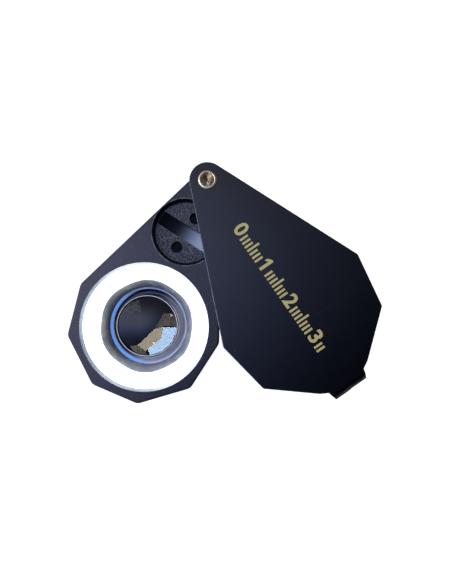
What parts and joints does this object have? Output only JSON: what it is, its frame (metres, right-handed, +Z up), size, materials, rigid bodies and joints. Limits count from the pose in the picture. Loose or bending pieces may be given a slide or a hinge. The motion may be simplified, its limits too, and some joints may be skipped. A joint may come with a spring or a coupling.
{
  "type": "jewelers loupe",
  "caption": "Folding pocket magnifier: a thick lens head with a ring light and a screw-capped battery well swings out of a riveted sheet-metal case.",
  "frame": {"origin": "on the rivet's axis, at the underside of the case's back plate, which the loupe lies on", "axes": "+Z up, out of the lamp side; +X along the case's centre line from the rivet to the bridge; +Y completes the right-handed frame"},
  "size_m": [0.0631, 0.0675, 0.0179],
  "materials": {
    "case_paint": "semi-gloss black stoving paint on sheet steel",
    "gold_print": "matt gold foil print",
    "rivet_brass": "nickel-washed brass, polished by rubbing",
    "bright_steel": "plain bright steel",
    "head_plastic": "satin black with a fine grain",
    "cap_plastic": "dark grey with a coarse spark-eroded grain",
    "screw_black": "blackened steel",
    "barrel_anodised": "turned and dark anodised",
    "ring_anodised": "black anodised with a bright inner chamfer",
    "lens_glass": "coated optical glass",
    "diffuser_milk": "milky, lit from behind",
    "board_laminate": "white solder mask",
    "lamp_white": "white lamp package, lit",
    "resistor_black": "black with tinned ends",
    "cell_steel": "bright nickel-plated steel can",
    "contact_nickel": "nickel-plated spring bronze",
    "switch_steel": "tinned steel can",
    "slider_plastic": "black moulding with thumb grooves",
    "lead_black": "black insulation",
    "lead_red": "red insulation"
  },
  "bodies": {
    "case": {"case_shell": "case_paint", "pivot_rivet": "rivet_brass", "pivot_sleeve": "bright_steel", "washer_front": "bright_steel", "washer_rear": "bright_steel"},
    "head": {"head_body": "head_plastic", "back_cover": "head_plastic", "cover_screws": "screw_black", "lens_barrel": "barrel_anodised", "retaining_ring": "ring_anodised", "lens_front": "lens_glass", "lens_middle": "lens_glass", "lens_rear": "lens_glass", "diffuser_ring": "diffuser_milk", "led_board": "board_laminate", "leds": "lamp_white", "resistors": "resistor_black", "cell_lower": "cell_steel", "cell_middle": "cell_steel", "cell_upper": "cell_steel", "battery_spring": "contact_nickel", "side_contact": "contact_nickel", "switch_body": "switch_steel", "spring_lead": "lead_black", "switch_lead": "lead_red", "contact_lead": "lead_red"},
    "contact_disc": {"cap_contact": "contact_nickel"},
    "cap": {"battery_cap": "cap_plastic"},
    "slider": {"switch_slider": "slider_plastic"}
  },
  "joints": [
    {"name": "head_swing", "type": "hinge", "parent": "case", "child": "head", "pos_m": [0, 0, 0], "axis": [0, 0, 1], "continuous": true},
    {"name": "cap_lift", "type": "slide", "parent": "head", "child": "contact_disc", "axis": [0, 0, 1], "range_m": [0, 0.001]},
    {"name": "cap_turn", "type": "hinge", "parent": "contact_disc", "child": "cap", "pos_m": [0.00684, -0.01094, 0.0149], "axis": [0, 0, 1], "range_deg": [0, 721]},
    {"name": "switch_slide", "type": "slide", "parent": "head", "child": "slider", "axis": [-0.8166, 0.5773, 0], "range_m": [0, 0.002]}
  ],
  "couplings": [
    {"joint": "cap_turn", "follows": "cap_lift", "rad_per_m": 12566}
  ]
}
